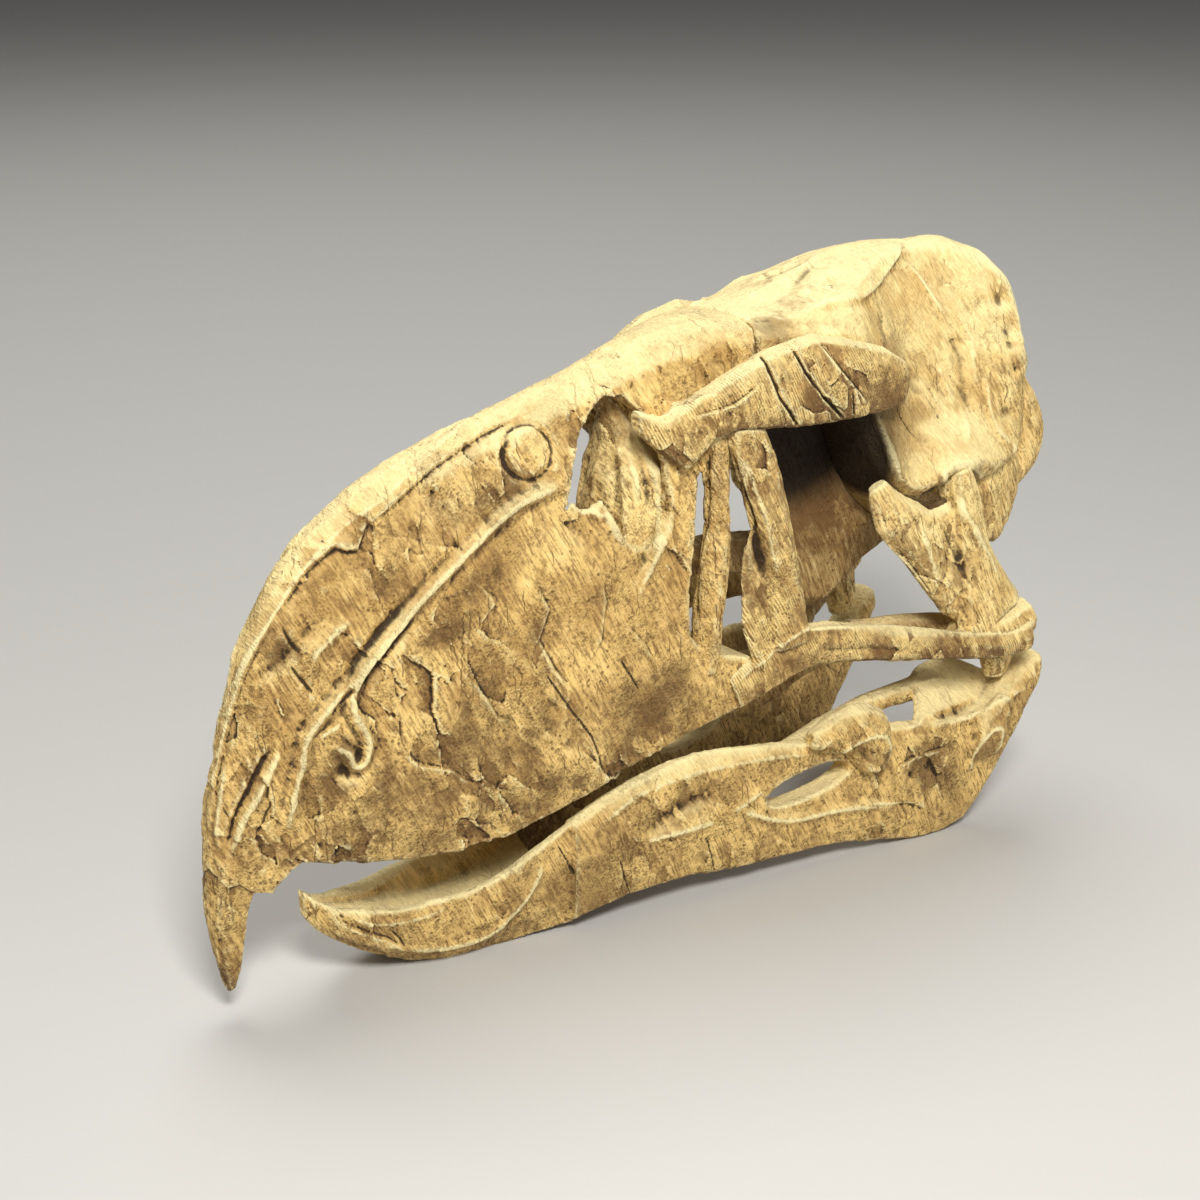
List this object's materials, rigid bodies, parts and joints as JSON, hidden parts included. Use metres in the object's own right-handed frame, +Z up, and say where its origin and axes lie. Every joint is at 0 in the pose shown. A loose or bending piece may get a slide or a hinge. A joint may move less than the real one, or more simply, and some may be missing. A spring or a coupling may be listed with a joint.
{
  "type": "terror bird skull replica",
  "caption": "Life-size museum replica of a terror bird skull with its lower jaw, tan bone finish, hooked bill to one side",
  "frame": {"origin": "on the floor under the middle of the skull's box, in its plane of symmetry", "axes": "+Z up, -X the way the bill points, -Y the animal's left side"},
  "size_m": [0.39, 0.13, 0.251],
  "materials": {
    "bone": "matte cast resin painted as old bone, with fine layer lines",
    "inner_bone": "the same resin, darker inside the skull"
  },
  "bodies": {
    "root": {"brow_left": "bone", "brow_right": "bone", "cheek_bar_left": "bone", "cheek_bar_right": "bone", "cranium": "bone", "ear_wing_left": "bone", "ear_wing_right": "bone", "jaw_blade_left": "bone", "jaw_blade_right": "bone", "jaw_front": "bone", "jaw_heel_left": "bone", "jaw_heel_right": "bone", "jaw_inner_process_left": "bone", "jaw_inner_process_right": "bone", "jaw_inner_ridge_left": "bone", "jaw_inner_ridge_right": "bone", "jaw_knob_left": "bone", "jaw_knob_right": "bone", "jaw_rear_left": "bone", "jaw_rear_right": "bone", "nose_core": "inner_bone", "occipital_condyle": "bone", "orbit_septum": "inner_bone", "orbit_strut_left": "bone", "orbit_strut_right": "bone", "palate_bone_left": "inner_bone", "palate_bone_right": "inner_bone", "quadrate_left": "bone", "quadrate_right": "bone", "rostrum": "inner_bone", "strut_lobe_left": "bone", "strut_lobe_right": "bone", "tear_column_left": "bone", "tear_column_right": "bone", "upper_beak": "bone", "wing_bone_left": "inner_bone", "wing_bone_right": "inner_bone"}
  },
  "joints": []
}
